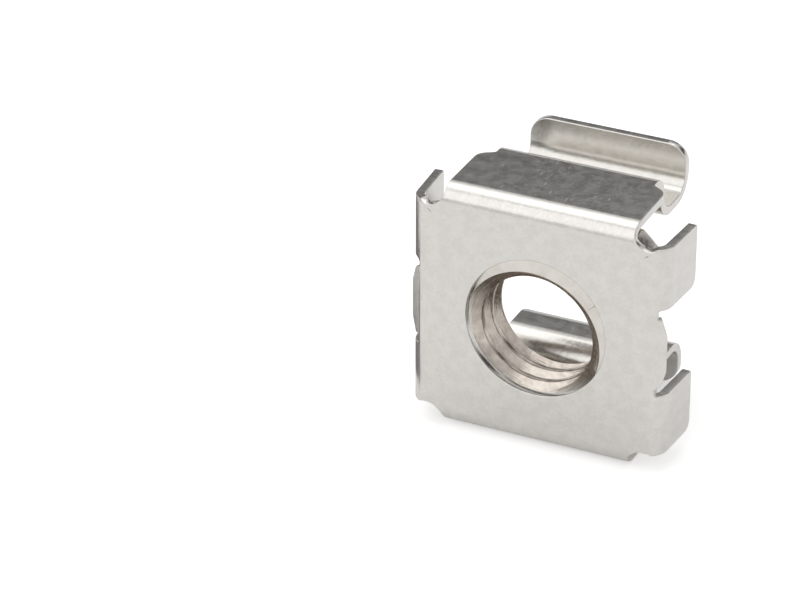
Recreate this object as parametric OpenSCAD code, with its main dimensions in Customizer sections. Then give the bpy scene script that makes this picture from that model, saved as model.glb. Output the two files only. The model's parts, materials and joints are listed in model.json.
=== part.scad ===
// Rack cage nut: a square nut held loose in a spring cage folded from one sheet.
// The origin is on the axis of the square rack hole, at the back face of the panel that the cage clips into.
// +Y points out of the panel, to the side that the bolt comes from, and +Z is up.

/* [Spring sheet] */
// Thickness of the sheet
sheet_t = 0.5; // [0.4:0.05:0.6]
// Outside radius of the four folds round the plate
fold_r = 1.1; // [0.9:0.1:1.3]

/* [Cage] */
// Width of the cage over its ears
cage_w = 14.8; // [14.2:0.1:15.4]
// Height of the cage over its flanges
cage_h = 14.6; // [14.2:0.1:15]
// Depth from the face of the plate to the back of the panel
cage_depth = 6.6; // [6.3:0.1:7.2]
// Diameter of the hole that the bolt's end comes through
bolt_hole_d = 8.1; // [8:0.1:8.8]
// Width of the upper and lower flanges
flange_w = 10.9; // [10.4:0.1:11.2]
// Radius of the relief cut at each corner
relief_r = 0.9; // [0.7:0.1:1]

/* [Ears] */
// Depth of the ears from the face of the plate
ear_depth = 3.8; // [3:0.1:4.5]
// Height of the gap between the ears of one side
ear_gap = 5.2; // [4.6:0.1:5.8]
// Height of each ear
ear_h = 3.65; // [3.2:0.05:3.8]
// How far the ears spread outwards, in degrees
ear_spread = 4; // [0:1:8]
// Radius of the lower outer corner of each ear
ear_corner_r = 0.55; // [0.3:0.05:0.8]
// Height of the half-folded tongue between the ears, at its root
tongue_h = 4.1; // [3.6:0.1:4.4]
// Height of the tongue at its tip
tongue_tip_h = 2.2; // [1.6:0.1:2.6]

/* [Hooks] */
// Width of the hooks, which pass through the square rack hole
hook_w = 9.2; // [8.6:0.1:9.4]
// Clear height between the two hooks, which the bolt passes through
hook_gap = 8.8; // [8.5:0.1:9]
// Outside radius of the fold from each flange down to its hook
seat_r = 1.25; // [1:0.05:1.3]
// Outside radius of the two folds of each hook
hook_r = 1.5; // [1.3:0.1:1.5]
// Width of the channel that the panel's edge sits in
channel_w = 3.1; // [2.8:0.1:3.4]
// Height over the tips of the two hooks
tip_h = 14.84; // [14.2:0.02:15.4]
// Radius of the corners of each hook's tip
tip_corner_r = 1.15; // [0.8:0.05:1.3]

/* [Nut] */
// Width of the nut across its flats
nut_w = 11.5; // [11:0.1:12]
// Thickness of the nut
nut_t = 4.4; // [4:0.1:4.5]
// Diameter of the round bar that the corners of the nut keep
nut_round_d = 14.8; // [14:0.1:15.6]
// Diameter of the thread's crests, for an M8 bolt
thread_minor_d = 6.65; // [6.65:0.05:6.9]
// Diameter of the countersink at each end of the thread
sink_d = 8; // [7.8:0.1:8.4]
// Bevel along the outer edges of the nut
nut_bevel = 0.45; // [0.45:0.05:0.6]
// How far the loose nut sits to one side of the cage
nut_side = -0.5; // [-0.6:0.1:0.6]

/* [Hidden] */
$fn = 96;
arc_steps = 10;
over = 1;                                     // how far cutters run past what they cut
lap = 1;                                      // how far each folded side runs back into the plate
fold_in = fold_r - sheet_t;
flat_half_w = cage_w / 2 - fold_r;
flat_half_h = cage_h / 2 - fold_r;
face_y = -cage_depth;
flange_run = cage_depth - fold_r - seat_r;
wall_run = cage_h / 2 - seat_r - hook_r - hook_gap / 2;
leg_run = channel_w + 2 * sheet_t - 2 * hook_r;
wing_run = tip_h / 2 - hook_gap / 2 - hook_r;
hook_end_y = channel_w + sheet_t;
root_y = face_y + 0.9 * sheet_t;              // the corner reliefs shape the flange up to here
shoulder_y = -2.5;                            // the flange starts to narrow here
shoulder_r = 0.75;
neck_r = 0.25;
ear_top = ear_gap / 2 + ear_h;
ear_end_y = face_y + ear_depth;
ear_high_corner_r = 0.2;
relief_x = flange_w / 2 + relief_r;
relief_z = ear_top - 0.2 + relief_r;
tongue_turn = 30;                             // the tongue is folded only this far
tongue_run = 0.64;
slit_x = 6.85;                                // the slits beside the tongue reach in to here
slit_r = (ear_gap - tongue_h) / 4;
nut_front_y = face_y + sheet_t + 0.15;        // the loose nut stands just clear of the plate
nut_end_y = nut_front_y + nut_t;
nut_z = sheet_t + nut_w / 2 - cage_h / 2;     // the nut lies on the lower flange
sink_depth = (sink_d - thread_minor_d) / 2;

// Points of an arc of radius r round (x, y), from angle a0 to angle a1
function arc(x, y, r, a0, a1) =
    [for (i = [0:arc_steps]) let (a = a0 + (a1 - a0) * i / arc_steps) [x + r * cos(a), y + r * sin(a)]];

// Section of one fold: part of a ring of inner radius r, turned to the left by up to 90 degrees either way
module fold_section(r, turn) {
    reach = 3 * (r + sheet_t);
    start = turn > 0 ? -90 : 90;
    intersection() {
        difference() {
            circle(r + sheet_t);
            circle(r);
        }
        polygon([
            [0, 0],
            reach * [cos(start), sin(start)],
            reach * [cos(start + turn / 2), sin(start + turn / 2)],
            reach * [cos(start + turn), sin(start + turn)]
        ]);
    }
}

// Section of a folded strip. Each step is [straight run, turn to the left, inner radius of the fold]
module strip_section(steps, i = 0) {
    run = steps[i][0];
    turn = steps[i][1];
    r = steps[i][2];
    centre = turn > 0 ? sheet_t + r : -r;
    square([run, sheet_t]);
    if (turn != 0) {
        translate([run, centre]) {
            fold_section(r, turn);
            rotate(turn) translate([0, -centre]) strip_section(steps, i + 1);
        }
    }
}

// Stretches an outline drawn in Y and Z along X
module along_x(width) {
    rotate([90, 0, 90]) linear_extrude(width, center = true) children();
}

// Stretches an outline drawn in X and Z along Y
module along_y(from_y, to_y) {
    translate([0, to_y, 0]) rotate([90, 0, 0]) linear_extrude(to_y - from_y) children();
}

// Copies what it is given to the other side of a plane through the origin
module both_sides(normal) {
    children();
    mirror(normal) children();
}

// What a rounded corner of radius r loses, where the corner is at the origin and points up and to the right
module corner_waste(r) {
    polygon(concat([[over, -r], [over, over], [-r, over]], arc(-r, -r, r, 90, 0)));
}

// A flange and its hook from above: wide at the plate, then narrowed through round shoulders
module strip_outline() {
    half = flange_w / 2;
    neck = hook_w / 2;
    side = concat(
        [[flat_half_w, face_y - over], [flat_half_w, root_y], [half, root_y]],
        arc(half - shoulder_r, shoulder_y, shoulder_r, 0, 60),
        arc(neck + neck_r, shoulder_y + shoulder_r + neck_r, neck_r, 250, 180),
        [[neck, hook_end_y + over]]
    );
    polygon(concat(side, [for (i = [len(side) - 1:-1:0]) [-side[i][0], side[i][1]]]));
}

// The upper flange: back from the plate, down behind the panel, through the panel and up again as the hook
module flange_and_hook() {
    steps = [
        [lap, -90, fold_in],
        [flange_run, -90, seat_r - sheet_t],
        [wall_run, 90, hook_r - sheet_t],
        [leg_run, 90, hook_r - sheet_t],
        [wing_run, 0, 0]
    ];
    difference() {
        intersection() {
            along_x(2 * flat_half_w)
                translate([face_y + sheet_t, flat_half_h - lap]) rotate(90) strip_section(steps);
            linear_extrude(tip_h) strip_outline();
        }
        along_y(channel_w - over, hook_end_y + over)
            both_sides([1, 0]) translate([hook_w / 2, tip_h / 2]) corner_waste(tip_corner_r);
    }
}

// The two ears of the right side from the side, with round outer corners
module ears_outline() {
    for (low_z = [-ear_top, ear_gap / 2]) {
        high_z = low_z + ear_h;
        polygon(concat(
            [[face_y - over, low_z]],
            arc(ear_end_y - ear_corner_r, low_z + ear_corner_r, ear_corner_r, -90, 0),
            arc(ear_end_y - ear_high_corner_r, high_z - ear_high_corner_r, ear_high_corner_r, 0, 90),
            [[face_y - over, high_z]]
        ));
    }
}

module ears() {
    steps = [[lap, 90 - ear_spread, fold_in], [ear_depth, 0, 0]];
    intersection() {
        translate([flat_half_w - lap, face_y, -ear_top])
            linear_extrude(2 * ear_top) strip_section(steps);
        along_x(2 * cage_w) ears_outline();
    }
}

// The tongue between the ears from the front, with a round-ended slit on each side
module tongue_outline() {
    root = ear_gap / 2;
    slit_z = root - slit_r;
    tip_x = cage_w / 2 + over;
    tip_z = tongue_tip_h / 2 - over * (tongue_h - tongue_tip_h) / 2 / (cage_w / 2 - slit_x - slit_r);
    polygon(concat(
        [[flat_half_w - lap, -root]],
        arc(slit_x + slit_r, -slit_z, slit_r, 270, 90),
        [[tip_x, -tip_z], [tip_x, tip_z]],
        arc(slit_x + slit_r, slit_z, slit_r, 270, 90),
        [[flat_half_w - lap, root]]
    ));
}

module tongue() {
    steps = [[lap, tongue_turn, fold_in], [tongue_run, 0, 0]];
    intersection() {
        translate([flat_half_w - lap, face_y, -ear_gap / 2])
            linear_extrude(ear_gap) strip_section(steps);
        along_y(face_y - over, 0) tongue_outline();
    }
}

// The whole cage is one folded sheet: the plate, two flanges with hooks, four ears and two tongues
module spring_cage() {
    color("#bdbab4") difference() {
        union() {
            translate([-flat_half_w, face_y, -flat_half_h])
                cube([2 * flat_half_w, sheet_t, 2 * flat_half_h]);
            both_sides([0, 0, 1]) flange_and_hook();
            both_sides([1, 0, 0]) {
                ears();
                tongue();
            }
        }
        translate([0, face_y - over, 0]) rotate([-90, 0, 0]) cylinder(h = sheet_t + 2 * over, d = bolt_hole_d);
        both_sides([1, 0, 0]) both_sides([0, 0, 1])
            translate([relief_x, face_y - over, relief_z])
            rotate([-90, 0, 0]) cylinder(h = fold_r + over, r = relief_r);
    }
}

// The nut's section through its flats, with bevelled edges
module nut_section() {
    half = nut_w / 2;
    inner = half - nut_bevel;
    polygon([
        [-inner, nut_front_y], [inner, nut_front_y],
        [half, nut_front_y + nut_bevel], [half, nut_end_y - nut_bevel],
        [inner, nut_end_y], [-inner, nut_end_y],
        [-half, nut_end_y - nut_bevel], [-half, nut_front_y + nut_bevel]
    ]);
}

// A square nut cut from bar with round corners. Its hole stops at the thread's crests
module square_nut() {
    color("#8f8a84") translate([nut_side, 0, nut_z]) difference() {
        intersection() {
            linear_extrude(nut_w, center = true) nut_section();
            rotate([0, 90, 0]) linear_extrude(nut_w, center = true) nut_section();
            translate([0, nut_front_y, 0]) rotate([-90, 0, 0]) cylinder(h = nut_t, d = nut_round_d);
        }
        translate([0, nut_front_y - over, 0]) rotate([-90, 0, 0]) cylinder(h = nut_t + 2 * over, d = thread_minor_d);
        translate([0, nut_front_y, 0]) rotate([-90, 0, 0])
            cylinder(h = sink_depth, d1 = sink_d, d2 = thread_minor_d);
        translate([0, nut_end_y - sink_depth, 0]) rotate([-90, 0, 0])
            cylinder(h = sink_depth, d1 = thread_minor_d, d2 = sink_d);
    }
}

spring_cage();
square_nut();
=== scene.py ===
# %% [markdown]
# A cage nut is two pieces: a spring cage folded from one sheet of stainless steel, and a square nut
# that lies loose in it. The hooks snap into a square hole of a server rack, and a bolt is then driven
# into the nut from the other side.
#
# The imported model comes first. It is the frame of reference: every piece below is made in its metres,
# and takes its place from the boxes that it gives.

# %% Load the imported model
import json
import math

import bmesh
import bpy
from mathutils import Matrix, Vector

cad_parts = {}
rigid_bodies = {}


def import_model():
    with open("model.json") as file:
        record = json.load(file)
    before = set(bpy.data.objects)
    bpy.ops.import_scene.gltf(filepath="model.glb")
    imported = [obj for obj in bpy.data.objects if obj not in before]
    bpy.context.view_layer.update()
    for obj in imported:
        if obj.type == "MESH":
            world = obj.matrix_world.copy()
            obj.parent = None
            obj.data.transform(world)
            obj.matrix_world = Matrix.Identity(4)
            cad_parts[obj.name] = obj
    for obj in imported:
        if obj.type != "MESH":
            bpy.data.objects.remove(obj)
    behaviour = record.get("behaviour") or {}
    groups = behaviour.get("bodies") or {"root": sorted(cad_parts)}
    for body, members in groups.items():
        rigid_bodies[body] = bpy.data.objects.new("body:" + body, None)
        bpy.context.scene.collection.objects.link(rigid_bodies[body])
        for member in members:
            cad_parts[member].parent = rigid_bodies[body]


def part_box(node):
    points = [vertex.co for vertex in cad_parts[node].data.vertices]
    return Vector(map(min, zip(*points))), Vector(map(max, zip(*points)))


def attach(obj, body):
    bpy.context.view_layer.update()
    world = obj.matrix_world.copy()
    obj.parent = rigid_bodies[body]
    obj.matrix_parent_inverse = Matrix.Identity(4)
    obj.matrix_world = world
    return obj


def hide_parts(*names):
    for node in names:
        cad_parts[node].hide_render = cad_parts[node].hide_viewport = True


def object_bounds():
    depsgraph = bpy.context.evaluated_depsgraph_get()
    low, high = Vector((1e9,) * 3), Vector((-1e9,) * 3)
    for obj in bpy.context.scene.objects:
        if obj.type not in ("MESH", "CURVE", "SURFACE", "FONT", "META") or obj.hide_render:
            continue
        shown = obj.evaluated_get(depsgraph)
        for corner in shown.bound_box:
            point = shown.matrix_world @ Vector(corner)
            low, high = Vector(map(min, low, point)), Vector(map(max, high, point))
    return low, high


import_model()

mm = 0.001
cad_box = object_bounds()
cage_low, cage_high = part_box("spring_cage")
nut_low, nut_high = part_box("square_nut")
face_y = cage_low.y
print("cage", [round(v / mm, 2) for v in cage_high - cage_low], "mm")
print("nut", [round(v / mm, 2) for v in nut_high - nut_low], "mm")

# %% [markdown]
# ## The camera
#
# A long lens from the front right and from above, as in a catalogue. The camera looks a little past
# the part, so that the part stands to the right of the middle and leaves room beside it.

# %% Place the camera
azimuth, elevation = math.radians(25.34), math.radians(29.08)
lens, sensor = 167.3 * mm, 36 * mm
distance = 200.1 * mm
aim = Vector((-0.15 * mm, face_y + 2.55 * mm, 0))
aim_right, aim_up = 8.12 * mm, -0.40 * mm

right = Vector((math.cos(azimuth), math.sin(azimuth), 0))
back = Vector((math.sin(azimuth) * math.cos(elevation), -math.cos(azimuth) * math.cos(elevation), math.sin(elevation)))
up = back.cross(right)
camera_data = bpy.data.cameras.new("camera")
camera_data.sensor_width = sensor / mm
camera_data.lens = lens / mm
camera_data.clip_start = 0.01
camera = bpy.data.objects.new("camera", camera_data)
camera.matrix_world = Matrix((right, up, back)).transposed().to_4x4()
camera.matrix_world.translation = aim + back * distance - right * aim_right - up * aim_up
bpy.context.scene.collection.objects.link(camera)
bpy.context.scene.camera = camera
print("camera at", [round(v, 3) for v in camera.matrix_world.translation])

# %% [markdown]
# ## The blank of the cage
#
# The real cage starts as a flat blank, punched from a strip of spring steel, so this one does too.
# Half of its outline is a chain of corners. Each corner carries the radius that the punch gives it,
# as the length that the rounding takes from the edges beside it. Rounding them with the bevel of
# single vertices keeps every radius in one readable number.
#
# The blank is drawn where the plate will be, in X and Z, and the folds come afterwards. Lengths along
# a fold are measured on the outer face of the sheet, so each quarter turn takes a quarter of its
# circle from the blank.

# %% Lengths along the blank
sheet = 0.5 * mm
plate_half_w, plate_half_h = 6.3 * mm, 6.2 * mm
fold_r, seat_r, hook_r = 1.1 * mm, 1.25 * mm, 1.0 * mm
quarter = math.pi / 2

fold_end = plate_half_h + quarter * fold_r
seat_start = fold_end + 4.25 * mm
seat_end = seat_start + quarter * seat_r
step_start = seat_end + 0.15 * mm
step_end = step_start + quarter * hook_r
hook_start = step_end + 1.1 * mm
hook_end = hook_start + quarter * hook_r
tip = hook_end + 1.52 * mm

ear_turn, tongue_turn = math.radians(86), math.radians(30)
ear_end = 10.735 * mm
tongue_root = plate_half_w + tongue_turn * fold_r
tongue_end = tongue_root + 0.64 * mm
bolt_hole_r = 4.05 * mm
print("the blank is", round(2 * ear_end / mm, 1), "x", round(2 * tip / mm, 1), "mm")

# %% Corners of the right half, from the tip of the upper hook down
ear_low, ear_high = 2.6 * mm, 6.25 * mm
flange_half, hook_half = 5.45 * mm, 4.6 * mm
slit = 0.275 * mm

strip_side = [
    (0, tip, 0),
    (hook_half, tip, 1.15 * mm),
    (hook_half, 11.85 * mm, 0.14 * mm),
    (flange_half, 11.36 * mm, 0.43 * mm),
    (flange_half, 6.1 * mm, 0.9 * mm),
    (6.622 * mm, 6.1 * mm, 0.27 * mm),
    (6.85 * mm, ear_high, 0.09 * mm),
]
tongue_side = [
    (tongue_root, ear_low, slit),
    (tongue_root, ear_low - 2 * slit, slit),
    (tongue_root + 0.34 * mm, ear_low - 2 * slit, 0.06 * mm),
    (tongue_end, 1.1 * mm, 0.12 * mm),
]
upper = strip_side + [(ear_end, ear_high, 0.2 * mm), (ear_end, ear_low, 0.55 * mm)] + tongue_side
lower = strip_side + [(ear_end, ear_high, 0.55 * mm), (ear_end, ear_low, 0.2 * mm)] + tongue_side
corners = upper + [(x, -z, r) for x, z, r in reversed(lower)]
print(len(corners), "corners on the right half")

# %% Draw the half, with the half circle of the bolt hole, and round its corners
blank = bmesh.new()
chain = [blank.verts.new((x, face_y, z)) for x, z, _ in corners]
start = blank.verts.new((0, face_y, -bolt_hole_r))
for a, b in zip(chain, chain[1:] + [start]):
    blank.edges.new((a, b))
bmesh.ops.spin(
    blank, geom=[start], cent=(0, face_y, 0), axis=(0, -1, 0), dvec=(0, 0, 0),
    angle=math.pi, steps=64, use_merge=False, use_duplicate=False,
)
blank.verts.ensure_lookup_table()
end = max((v for v in blank.verts if len(v.link_edges) == 1 and v is not chain[0]), key=lambda v: v.co.z)
blank.edges.new((end, chain[0]))
bmesh.ops.contextual_create(blank, geom=blank.edges[:])
for vert, (_, _, radius) in zip(chain, corners):
    if radius:
        bmesh.ops.bevel(
            blank, geom=[vert], offset=radius, offset_type="OFFSET", affect="VERTICES",
            segments=10, profile=0.5, material=-1, clamp_overlap=False,
        )
print("half blank:", len(blank.verts), "vertices,", len(blank.faces), "face")

# %% [markdown]
# ## From half an outline to a sheet
#
# The half is mirrored, given its thickness, and the edges that the punch cut are broken with a very
# small bevel, because a real cut edge always shows a thin line of light. All of this is easiest while
# the sheet is still flat.

# %% Mirror, thicken and break the edges
bmesh.ops.mirror(blank, geom=blank.verts[:] + blank.edges[:] + blank.faces[:], axis="X", merge_dist=1e-7)
bmesh.ops.recalc_face_normals(blank, faces=blank.faces)
if blank.faces[:][0].normal.y > 0:
    bmesh.ops.reverse_faces(blank, faces=blank.faces)
grown = bmesh.ops.extrude_face_region(blank, geom=blank.faces[:], use_keep_orig=True)
moved = [g for g in grown["geom"] if isinstance(g, bmesh.types.BMVert)]
bmesh.ops.translate(blank, verts=moved, vec=(0, sheet, 0))
bmesh.ops.recalc_face_normals(blank, faces=blank.faces)


def is_cut_edge(edge):
    """True where the cut side of the sheet meets one of its two faces."""
    across = [abs(face.normal.y) > 0.9 for face in edge.link_faces]
    return len(across) == 2 and across[0] != across[1]


bmesh.ops.bevel(
    blank, geom=[e for e in blank.edges if is_cut_edge(e)], offset=0.05 * mm, offset_type="OFFSET",
    affect="EDGES", segments=2, profile=0.5, material=-1, clamp_overlap=False,
)
bmesh.ops.remove_doubles(blank, verts=blank.verts, dist=0.0005 * mm)
bmesh.ops.triangulate(blank, faces=[f for f in blank.faces if len(f.verts) > 4])
print("sheet:", len(blank.faces), "faces")

# %% [markdown]
# ## Score the fold lines
#
# A sheet can only bend where it has edges. So before folding, straight cuts are made across it, a few
# degrees apart inside every fold and none elsewhere. The flat parts stay single faces, and shade
# perfectly flat.

# %% Cut the sheet across each fold
def score(start, length, steps, across):
    """Cuts the sheet on both sides of the middle, at equal steps from start on."""
    for step in range(steps + 1):
        for side in (1, -1):
            bmesh.ops.bisect_plane(
                blank, geom=blank.verts[:] + blank.edges[:] + blank.faces[:], dist=1e-8,
                plane_co=across * side * (start + length * step / steps), plane_no=across,
            )


up_way, side_way = Vector((0, 0, 1)), Vector((1, 0, 0))
for start, radius in ((plate_half_h, fold_r), (seat_start, seat_r), (step_start, hook_r), (hook_start, hook_r)):
    score(start, quarter * radius, 16, up_way)
score(plate_half_w, tongue_turn * fold_r, 5, side_way)
score(tongue_root, (ear_turn - tongue_turn) * fold_r, 10, side_way)
bmesh.ops.dissolve_degenerate(blank, dist=0.003 * mm, edges=blank.edges)
print("scored sheet:", len(blank.faces), "faces")

# %% [markdown]
# ## Keep the flat sheet as a map
#
# Rolling marks and grain run along the sheet and go round every fold with it. If each point remembers
# where it lay in the flat blank, a pattern drawn on the blank follows the folds by itself. That is a
# UV map, and it costs nothing while the sheet is flat. A second value marks the folds, where the
# stretched steel turns rougher.

# %% Store the flat map and the folds
flat_map = blank.loops.layers.uv.new("flat")
stretch = blank.verts.layers.float.new("stretch")
flat = {vert: vert.co.copy() for vert in blank.verts}
for face in blank.faces:
    for loop in face.loops:
        loop[flat_map].uv = (loop.vert.co.x, loop.vert.co.z)
print("mapped", len(flat), "points")

# %% [markdown]
# ## Fold it
#
# A press folds the outermost bend first, and so does this. Every point past a fold line is pulled back
# by the length that the bend takes up and then turned round the bend's centre. Points inside the bend
# turn by their own share of the angle, so the bend comes out round on both faces of the sheet.

# %% One fold
def fold(points, way, start, radius, turn):
    """Bends the points past start. A radius below zero bends the sheet to its front."""
    length = turn * abs(radius)
    centre = way * start + Vector((0, face_y + radius, 0))
    axis = way.cross(Vector((0, 1, 0)))
    shares = {}
    for vert in points:
        past = min(flat[vert].dot(way) - start, length)
        if past > 1e-9:
            shares.setdefault(round(past, 9), []).append(vert)
    for past, verts in shares.items():
        bmesh.ops.translate(blank, verts=verts, vec=-way * past)
        bmesh.ops.rotate(blank, verts=verts, cent=centre, matrix=Matrix.Rotation(past / radius, 3, axis))
        if past < length - 1e-7:
            for vert in verts:
                vert[stretch] = 1.0


# %% Fold the two strips, then the ears and tongues
for side in (1, -1):
    way = up_way * side
    strip = [v for v, at in flat.items() if abs(at.x) <= plate_half_w + 1e-8 and at.z * side > plate_half_h]
    fold(strip, way, hook_start, -hook_r, quarter)
    fold(strip, way, step_start, -hook_r, quarter)
    fold(strip, way, seat_start, seat_r, quarter)
    fold(strip, way, plate_half_h, fold_r, quarter)
    way = side_way * side
    flap = [v for v, at in flat.items() if at.x * side > plate_half_w + 1e-8]
    fold([v for v in flap if abs(flat[v].z) >= ear_low - slit], way, plate_half_w, fold_r, ear_turn)
    fold([v for v in flap if abs(flat[v].z) < ear_low - slit], way, plate_half_w, fold_r, tongue_turn)
bmesh.ops.dissolve_limit(blank, verts=blank.verts, edges=blank.edges, angle_limit=math.radians(0.4), delimit={"UV"})
low = Vector(min(v.co[i] for v in blank.verts) for i in range(3))
high = Vector(max(v.co[i] for v in blank.verts) for i in range(3))
print("folded cage", [round(v / mm, 2) for v in high - low], "mm; in the model", [round(v / mm, 2) for v in cage_high - cage_low])


# %% Finish the cage as a piece
def make_piece(name, bm, materials, angle=None):
    """Turns a bmesh into a smooth-shaded piece that rides on the part's one body."""
    mesh = bpy.data.meshes.new(name)
    bmesh.ops.recalc_face_normals(bm, faces=bm.faces)
    for face in bm.faces:
        face.smooth = True
    bm.to_mesh(mesh)
    bm.free()
    for material in materials:
        mesh.materials.append(material)
    if angle:
        mesh.set_sharp_from_angle(angle=angle)
    piece = bpy.data.objects.new(name, mesh)
    bpy.context.scene.collection.objects.link(piece)
    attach(piece, "root")
    return piece


# %% [markdown]
# ## Shared finishes
#
# Two effects show on both pieces, so each is a node group with named inputs: the grain that rolling and
# drawing leave in stainless steel, and the fine marks of handling. A group only gives out masks and
# heights. Each material mixes them in its own way, and keeps its own shader.

# %% Helpers for materials
def new_material(name):
    """An empty material with one Principled shader."""
    material = bpy.data.materials.new(name)
    material.use_nodes = True
    tree = material.node_tree
    return material, tree, tree.nodes["Principled BSDF"]


def new_group(name, inputs, outputs):
    """A node group with float inputs and a Vector, and float outputs."""
    group = bpy.data.node_groups.new(name, "ShaderNodeTree")
    group.interface.new_socket("Vector", in_out="INPUT", socket_type="NodeSocketVector")
    for label, value in inputs:
        group.interface.new_socket(label, in_out="INPUT", socket_type="NodeSocketFloat").default_value = value
    for label in outputs:
        group.interface.new_socket(label, in_out="OUTPUT", socket_type="NodeSocketFloat")
    return group, group.nodes.new("NodeGroupInput"), group.nodes.new("NodeGroupOutput")


def add(tree, kind, **settings):
    """Adds a node. Settings with a capital letter are its inputs."""
    node = tree.nodes.new(kind)
    for key, value in settings.items():
        if key[0].isupper():
            node.inputs[key.replace("_", " ")].default_value = value
        else:
            setattr(node, key, value)
    return node


def calc(tree, operation, a, b=None):
    """One step of arithmetic on sockets or numbers."""
    node = tree.nodes.new("ShaderNodeMath")
    node.operation = operation
    for socket, value in zip(node.inputs, (a, b)):
        if isinstance(value, (int, float)):
            socket.default_value = value
        elif value is not None:
            tree.links.new(value, socket)
    return node.outputs[0]


def ramp(tree, value, low, high, to_low=0.0, to_high=1.0):
    """Spreads low to high over to_low to to_high, with soft ends."""
    node = add(tree, "ShaderNodeMapRange", interpolation_type="SMOOTHSTEP")
    tree.links.new(value, node.inputs["Value"])
    for label, number in (("From Min", low), ("From Max", high), ("To Min", to_low), ("To Max", to_high)):
        node.inputs[label].default_value = number
    return node.outputs["Result"]


def mix(tree, factor, a, b):
    """Mixes two colours by a factor."""
    node = add(tree, "ShaderNodeMix", data_type="RGBA")
    tree.links.new(factor, node.inputs["Factor"])
    for socket, value in ((node.inputs[6], a), (node.inputs[7], b)):
        if isinstance(value, tuple):
            socket.default_value = value
        else:
            tree.links.new(value, socket)
    return node.outputs[2]


# %% Grain of rolled steel
grain, into, out = new_group("steel_grain", [("Size", 0.0002), ("Cloud Size", 0.0025)], ["Fine", "Cloud"])
for label, kind, detail in (("Size", "Fine", 3.0), ("Cloud Size", "Cloud", 2.0)):
    noise = add(grain, "ShaderNodeTexNoise", Detail=detail, Roughness=0.6)
    grain.links.new(into.outputs["Vector"], noise.inputs["Vector"])
    grain.links.new(calc(grain, "DIVIDE", 1.0, into.outputs[label]), noise.inputs["Scale"])
    grain.links.new(noise.outputs[0], out.inputs[kind])

# %% Marks of handling: hair scratches that run two ways, and small dents
marks, into, out = new_group("handling_marks", [("Amount", 1.0)], ["Scratch", "Speck"])
found = None
for turn, seed in ((0.5, 3.0), (-0.9, 11.0), (1.35, 23.0)):
    turned = add(marks, "ShaderNodeMapping", Location=(seed, seed, 0), Rotation=(0, 0, turn), Scale=(14000, 700, 1))
    marks.links.new(into.outputs["Vector"], turned.inputs["Vector"])
    noise = add(marks, "ShaderNodeTexNoise", Scale=1.0, Detail=1.0)
    marks.links.new(turned.outputs[0], noise.inputs["Vector"])
    line = ramp(marks, noise.outputs[0], 0.76, 0.82)
    found = line if found is None else calc(marks, "MAXIMUM", found, line)
marks.links.new(calc(marks, "MULTIPLY", found, into.outputs["Amount"]), out.inputs["Scratch"])
cell = add(marks, "ShaderNodeTexVoronoi", Scale=900.0)
marks.links.new(into.outputs["Vector"], cell.inputs["Vector"])
dot = calc(marks, "LESS_THAN", cell.outputs["Distance"], 0.09)
marks.links.new(calc(marks, "MULTIPLY", dot, into.outputs["Amount"]), out.inputs["Speck"])
print("groups:", [g.name for g in bpy.data.node_groups])

# %% [markdown]
# ## Spring steel
#
# The sheet is warm light grey with a soft satin grain. The flat map carries the grain round the folds.
# Where the steel was stretched over the tool, its outer skin turns into fine pebbles, so the stretch
# value raises a second, stronger bump there.

# %% Spring steel
spring_steel, tree, shader = new_material("spring_steel")
shader.inputs["Metallic"].default_value = 1.0
place = add(tree, "ShaderNodeUVMap", uv_map="flat")
here = add(tree, "ShaderNodeTexCoord")
grained = add(tree, "ShaderNodeGroup", node_tree=grain)
grained.inputs["Size"].default_value = 0.16 * mm
grained.inputs["Cloud Size"].default_value = 0.7 * mm
tree.links.new(place.outputs[0], grained.inputs["Vector"])
marked = add(tree, "ShaderNodeGroup", node_tree=marks)
tree.links.new(place.outputs[0], marked.inputs["Vector"])
stretched = add(tree, "ShaderNodeAttribute", attribute_name="stretch")

cloud = ramp(tree, grained.outputs["Cloud"], 0.3, 0.7)
fine = grained.outputs["Fine"]
tone = calc(tree, "ADD", calc(tree, "MULTIPLY", cloud, 0.25), calc(tree, "MULTIPLY", fine, 0.75))
base = mix(tree, ramp(tree, tone, 0.2, 0.8), (0.655, 0.635, 0.60, 1), (0.74, 0.72, 0.69, 1))
base = mix(tree, calc(tree, "MULTIPLY", marked.outputs["Scratch"], 0.25), base, (0.88, 0.87, 0.85, 1))
tree.links.new(base, shader.inputs["Base Color"])
rough = calc(tree, "ADD", ramp(tree, tone, 0.2, 0.8, 0.21, 0.27), calc(tree, "MULTIPLY", marked.outputs["Scratch"], 0.10))
tree.links.new(rough, shader.inputs["Roughness"])

pebble = add(tree, "ShaderNodeTexNoise", Scale=1 / (0.22 * mm), Detail=2.0)
tree.links.new(here.outputs["Object"], pebble.inputs["Vector"])
rise = calc(tree, "MULTIPLY", pebble.outputs[0], ramp(tree, stretched.outputs["Fac"], 0.0, 1.0, 0.25, 1.0))
rise = calc(tree, "ADD", rise, calc(tree, "MULTIPLY", fine, 0.35))
rise = calc(tree, "SUBTRACT", rise, calc(tree, "MULTIPLY", marked.outputs["Scratch"], 0.4))
rise = calc(tree, "SUBTRACT", rise, calc(tree, "MULTIPLY", marked.outputs["Speck"], 1.2))
bump = add(tree, "ShaderNodeBump", Strength=0.5, Distance=0.012 * mm)
tree.links.new(rise, bump.inputs["Height"])
tree.links.new(bump.outputs[0], shader.inputs["Normal"])
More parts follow.
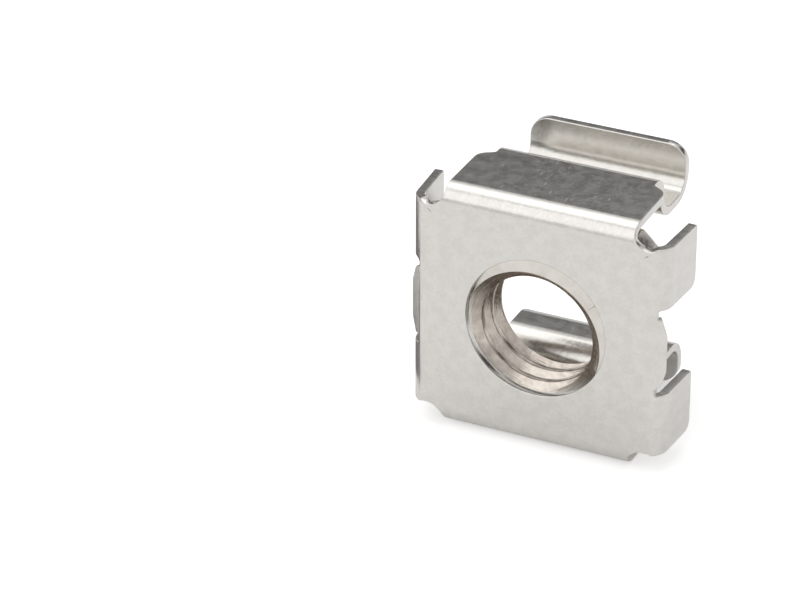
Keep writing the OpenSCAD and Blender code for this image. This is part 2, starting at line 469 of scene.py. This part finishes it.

# %% [markdown]
# ## Nut steel
#
# The nut's faces were turned, which leaves rings round its axis. The rings come from the distance to the axis,
# so they sit where the tools worked. The thread and the bore are painted darker and browner the deeper they lie
# behind the front face: that is painted shade in the bore.

# %% Nut steel
nut_steel, tree, shader = new_material("nut_steel")
shader.inputs["Metallic"].default_value = 1.0
here = add(tree, "ShaderNodeTexCoord")
centred = add(tree, "ShaderNodeMapping", Location=(-(nut_low.x + nut_high.x) / 2, 0, -(nut_low.z + nut_high.z) / 2))
tree.links.new(here.outputs["Object"], centred.inputs["Vector"])
split = add(tree, "ShaderNodeSeparateXYZ")
tree.links.new(centred.outputs[0], split.inputs[0])
squares = [calc(tree, "MULTIPLY", split.outputs[i], split.outputs[i]) for i in (0, 2)]
radius = calc(tree, "SQRT", calc(tree, "ADD", *squares))
rings = add(tree, "ShaderNodeTexNoise", noise_dimensions="1D", Scale=1 / (0.05 * mm), Detail=2.0)
tree.links.new(radius, rings.inputs["W"])
lines = add(tree, "ShaderNodeTexNoise", noise_dimensions="1D", Scale=1 / (0.04 * mm), Detail=2.0)
tree.links.new(split.outputs[1], lines.inputs["W"])
grained = add(tree, "ShaderNodeGroup", node_tree=grain)
grained.inputs["Size"].default_value = 0.12 * mm
grained.inputs["Cloud Size"].default_value = 0.9 * mm
tree.links.new(here.outputs["Object"], grained.inputs["Vector"])
marked = add(tree, "ShaderNodeGroup", node_tree=marks)
tree.links.new(here.outputs["Object"], marked.inputs["Vector"])
# Painted shade: inside the thread's radius, the colour turns darker and browner from 0.1 to 0.9 mm behind the front
# face.
tapped = ramp(tree, radius, 4.02 * mm, 4.10 * mm, 1.0, 0.0)
deep = ramp(tree, split.outputs[1], nut_low.y + 0.1 * mm, nut_low.y + 0.9 * mm)
painted_bore_shade = calc(tree, "MULTIPLY", tapped, deep)
cloud = ramp(tree, grained.outputs["Cloud"], 0.3, 0.7)
base = mix(tree, cloud, (0.66, 0.625, 0.575, 1), (0.74, 0.705, 0.655, 1))
dark = mix(tree, cloud, (0.50, 0.44, 0.39, 1), (0.70, 0.64, 0.575, 1))
base = mix(tree, painted_bore_shade, base, dark)
tree.links.new(base, shader.inputs["Base Color"])
tree.links.new(ramp(tree, grained.outputs["Fine"], 0.3, 0.7, 0.14, 0.26), shader.inputs["Roughness"])
rise = calc(tree, "ADD", calc(tree, "MULTIPLY", rings.outputs[0], 0.6), calc(tree, "MULTIPLY", lines.outputs[0], tapped))
rise = calc(tree, "ADD", rise, calc(tree, "MULTIPLY", grained.outputs["Fine"], 0.5))
bump = add(tree, "ShaderNodeBump", Strength=0.5, Distance=0.010 * mm)
tree.links.new(rise, bump.inputs["Height"])
tree.links.new(bump.outputs[0], shader.inputs["Normal"])

# %% Fold the finish round the cage
cage = make_piece("folded_cage", blank, [spring_steel])
weighted = cage.modifiers.new("flat faces stay flat", "WEIGHTED_NORMAL")
weighted.mode = "FACE_AREA"
weighted.weight = 100
weighted.keep_sharp = True
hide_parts("spring_cage")
print("cage:", len(cage.data.polygons), "faces")

# %% [markdown]
# ## The nut
#
# The nut is sawn from round bar with four flats milled on it, so its corners keep the round of the
# bar. The same two steps make it here: a cylinder, and four straight cuts.

# %% Round bar with four flats
nut_mid = (nut_low + nut_high) / 2
nut_half = (nut_high.x - nut_low.x) / 2
nut_depth = nut_high.y - nut_low.y
bar_r = 7.4 * mm
bore_r, sink_r, crest_r = 3.2 * mm, 4.0 * mm, 3.325 * mm
sink_depth = sink_r - bore_r
axis_at = Vector((nut_mid.x, 0, nut_mid.z))

body = bmesh.new()
section = [
    (bore_r, nut_low.y + sink_depth), (sink_r, nut_low.y), (bar_r, nut_low.y),
    (bar_r, nut_high.y), (sink_r, nut_high.y), (bore_r, nut_high.y - sink_depth),
]
ring = [body.verts.new((axis_at.x + r, y, axis_at.z)) for r, y in section]
loop = [body.edges.new(pair) for pair in zip(ring, ring[1:] + ring[:1])]
bmesh.ops.spin(
    body, geom=ring + loop, cent=axis_at, axis=(0, 1, 0), dvec=(0, 0, 0), angle=math.tau, steps=192,
    use_merge=True, use_duplicate=False,
)
bmesh.ops.remove_doubles(body, verts=body.verts, dist=0.0005 * mm)
for way in (Vector((1, 0, 0)), Vector((-1, 0, 0)), Vector((0, 0, 1)), Vector((0, 0, -1))):
    bmesh.ops.bisect_plane(
        body, geom=body.verts[:] + body.edges[:] + body.faces[:], dist=1e-8,
        plane_co=nut_mid + way * nut_half, plane_no=way, clear_outer=True,
    )
    bmesh.ops.holes_fill(body, edges=body.edges[:], sides=0)
bmesh.ops.recalc_face_normals(body, faces=body.faces)
face_edges = [
    e for e in body.edges
    if sum(abs(f.normal.y) > 0.9 for f in e.link_faces) == 1 and (e.verts[0].co - nut_mid).xz.length > 5 * mm
]
bmesh.ops.bevel(
    body, geom=face_edges, offset=0.4 * mm, offset_type="OFFSET", affect="EDGES", segments=3,
    profile=0.5, material=-1, clamp_overlap=False,
)
print("nut body:", len(body.faces), "faces")

# %% [markdown]
# ## The thread
#
# A tap cuts the thread, so the thread is made as the tap's own shape and taken away from the nut. One
# groove, drawn as a short chain of points, is spun round the axis while it climbs by one pitch each
# turn. Its turns touch, and merge into one helical skin.

# %% A tap for an M8 thread
pitch = 1.25 * mm
root_r = 4.0 * mm
turns, steps_per_turn = 7, 72

tap = bmesh.new()
groove = [
    (0.0, crest_r), (0.10, crest_r), (0.135, crest_r + 0.015 * mm), (0.165, crest_r + 0.05 * mm),
    (0.42, root_r - 0.05 * mm), (0.45, root_r - 0.015 * mm), (0.50, root_r), (0.55, root_r - 0.015 * mm),
    (0.58, root_r - 0.05 * mm), (0.835, crest_r + 0.05 * mm), (0.865, crest_r + 0.015 * mm), (0.90, crest_r), (1.0, crest_r),
]
tap_start = nut_mid.y - turns * pitch / 2 - pitch / 2
chain = [tap.verts.new((axis_at.x, tap_start + share * pitch, axis_at.z + r)) for share, r in groove]
edges = [tap.edges.new(pair) for pair in zip(chain, chain[1:])]
bmesh.ops.spin(
    tap, geom=chain + edges, cent=axis_at, axis=(0, -1, 0), dvec=(0, pitch / steps_per_turn, 0),
    angle=math.tau * turns, steps=turns * steps_per_turn, use_merge=False, use_duplicate=False,
)
bmesh.ops.remove_doubles(tap, verts=tap.verts, dist=1e-7)
for side in (-1, 1):
    rim = [e for e in tap.edges if e.is_boundary and (e.verts[0].co.y - nut_mid.y) * side > 0]
    cap = bmesh.ops.extrude_edge_only(tap, edges=rim)["geom"]
    cap = [g for g in cap if isinstance(g, bmesh.types.BMVert)]
    middle = axis_at + Vector((0, sum(v.co.y for v in cap) / len(cap), 0))
    bmesh.ops.pointmerge(tap, verts=cap, merge_co=middle)
bmesh.ops.recalc_face_normals(tap, faces=tap.faces)
print("tap:", len(tap.faces), "faces, open edges:", sum(e.is_boundary for e in tap.edges))


# %% Cut the thread
def cut_away(target, cutter):
    """Takes the cutter away from the target, and returns what is left as a new bmesh."""
    objects = []
    for name, bm in (("target", target), ("cutter", cutter)):
        mesh = bpy.data.meshes.new(name)
        bm.to_mesh(mesh)
        bm.free()
        objects.append(bpy.data.objects.new(name, mesh))
        bpy.context.scene.collection.objects.link(objects[-1])
    cut = objects[0].modifiers.new("cut", "BOOLEAN")
    cut.operation, cut.solver, cut.object = "DIFFERENCE", "EXACT", objects[1]
    result = bmesh.new()
    result.from_object(objects[0], bpy.context.evaluated_depsgraph_get())
    for item in objects:
        mesh = item.data
        bpy.data.objects.remove(item)
        bpy.data.meshes.remove(mesh)
    return result


nut_bm = cut_away(body, tap)
print("threaded nut:", len(nut_bm.faces), "faces,", round(nut_bm.calc_volume() / mm**3, 1), "mm3")

# %% Finish the nut as a piece
nut = make_piece("threaded_nut", nut_bm, [nut_steel], angle=math.radians(28))
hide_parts("square_nut")

# %% [markdown]
# ## Floor and light
#
# Polished steel shows what stands round it, so it is lit with things to mirror: a white room, one soft
# box overhead, and dark cards where the part should look dark. The upper flange faces up and mirrors
# the wall behind the part, so a dark card stands there. The cards are hidden from the camera itself.

# %% Floor
scene = bpy.context.scene
scene.view_settings.view_transform = "Standard"


def stage_plate(name, width, height, matrix, material):
    """A flat rectangle that belongs to the studio and not to the part."""
    bm = bmesh.new()
    bmesh.ops.create_grid(bm, x_segments=1, y_segments=1, size=0.5, matrix=matrix @ Matrix.Diagonal((width, height, 1, 1)))
    mesh = bpy.data.meshes.new(name)
    bm.to_mesh(mesh)
    bm.free()
    mesh.materials.append(material)
    plate = bpy.data.objects.new(name, mesh)
    scene.collection.objects.link(plate)
    return plate


floor_paint, tree, shader = new_material("floor_paint")
shader.inputs["Base Color"].default_value = (0.86, 0.86, 0.86, 1)
shader.inputs["Roughness"].default_value = 0.9
ray = add(tree, "ShaderNodeLightPath")
seen = calc(tree, "MAXIMUM", ray.outputs["Is Camera Ray"], calc(tree, "MULTIPLY", ray.outputs["Is Glossy Ray"], 0.25))
shader.inputs["Emission Color"].default_value = (1, 1, 1, 1)
tree.links.new(calc(tree, "MULTIPLY", seen, 0.42), shader.inputs["Emission Strength"])
floor = stage_plate("floor", 6, 6, Matrix.Translation((0, 0, cad_box[0].z)), floor_paint)

# %% Cards
card_black, tree, shader = new_material("card_black")
shader.inputs["Base Color"].default_value = (0.02, 0.02, 0.02, 1)
shader.inputs["Roughness"].default_value = 1.0
card_grey, tree, shader = new_material("card_grey")
shader.inputs["Base Color"].default_value = (0.22, 0.22, 0.22, 1)
shader.inputs["Roughness"].default_value = 1.0


def facing(side, rise, away):
    """Stands at a side angle from straight behind, at a rise in degrees, and faces the part."""
    side, rise = math.radians(side), math.radians(rise)
    way = Vector((math.sin(side) * math.cos(rise), math.cos(side) * math.cos(rise), math.sin(rise)))
    return Matrix.Translation(way * away) @ way.to_track_quat("Z", "Y").to_matrix().to_4x4()


cards = [
    stage_plate("card_behind", 0.50, 0.13, facing(-25.3, 24.5, 0.45), card_black),
    stage_plate("card_behind_right", 0.24, 0.20, facing(34, 22, 0.45), card_black),
    stage_plate("card_left", 0.045, 0.06, Matrix.Translation((-0.033, 0.022, cad_box[0].z + 0.1 * mm)), card_grey),
]
for card in cards:
    card.visible_camera = False
    card.visible_shadow = False
    card.visible_diffuse = False

# %% Lamps and room
def soft_box(name, width, height, glow, matrix):
    """A soft rectangular lamp whose face glows at the given level, where 1 is white."""
    data = bpy.data.lights.new(name, "AREA")
    data.shape, data.size, data.size_y = "RECTANGLE", width, height
    data.energy = glow * math.pi * width * height
    lamp = bpy.data.objects.new(name, data)
    lamp.matrix_world = matrix
    scene.collection.objects.link(lamp)


soft_box("box_over", 0.45, 0.34, 0.95, facing(-30, 74, 0.45))
soft_box("box_front", 0.60, 0.46, 0.62, facing(-155, 38, 0.50))

world = bpy.data.worlds.new("studio")
scene.world = world
world.use_nodes = True
tree = world.node_tree
background = tree.nodes["Background"]
background.inputs["Color"].default_value = (1, 1, 1, 1)
ray = add(tree, "ShaderNodeLightPath")
tree.links.new(ramp(tree, ray.outputs["Is Camera Ray"], 0, 1, 0.72, 1.0), background.inputs["Strength"])
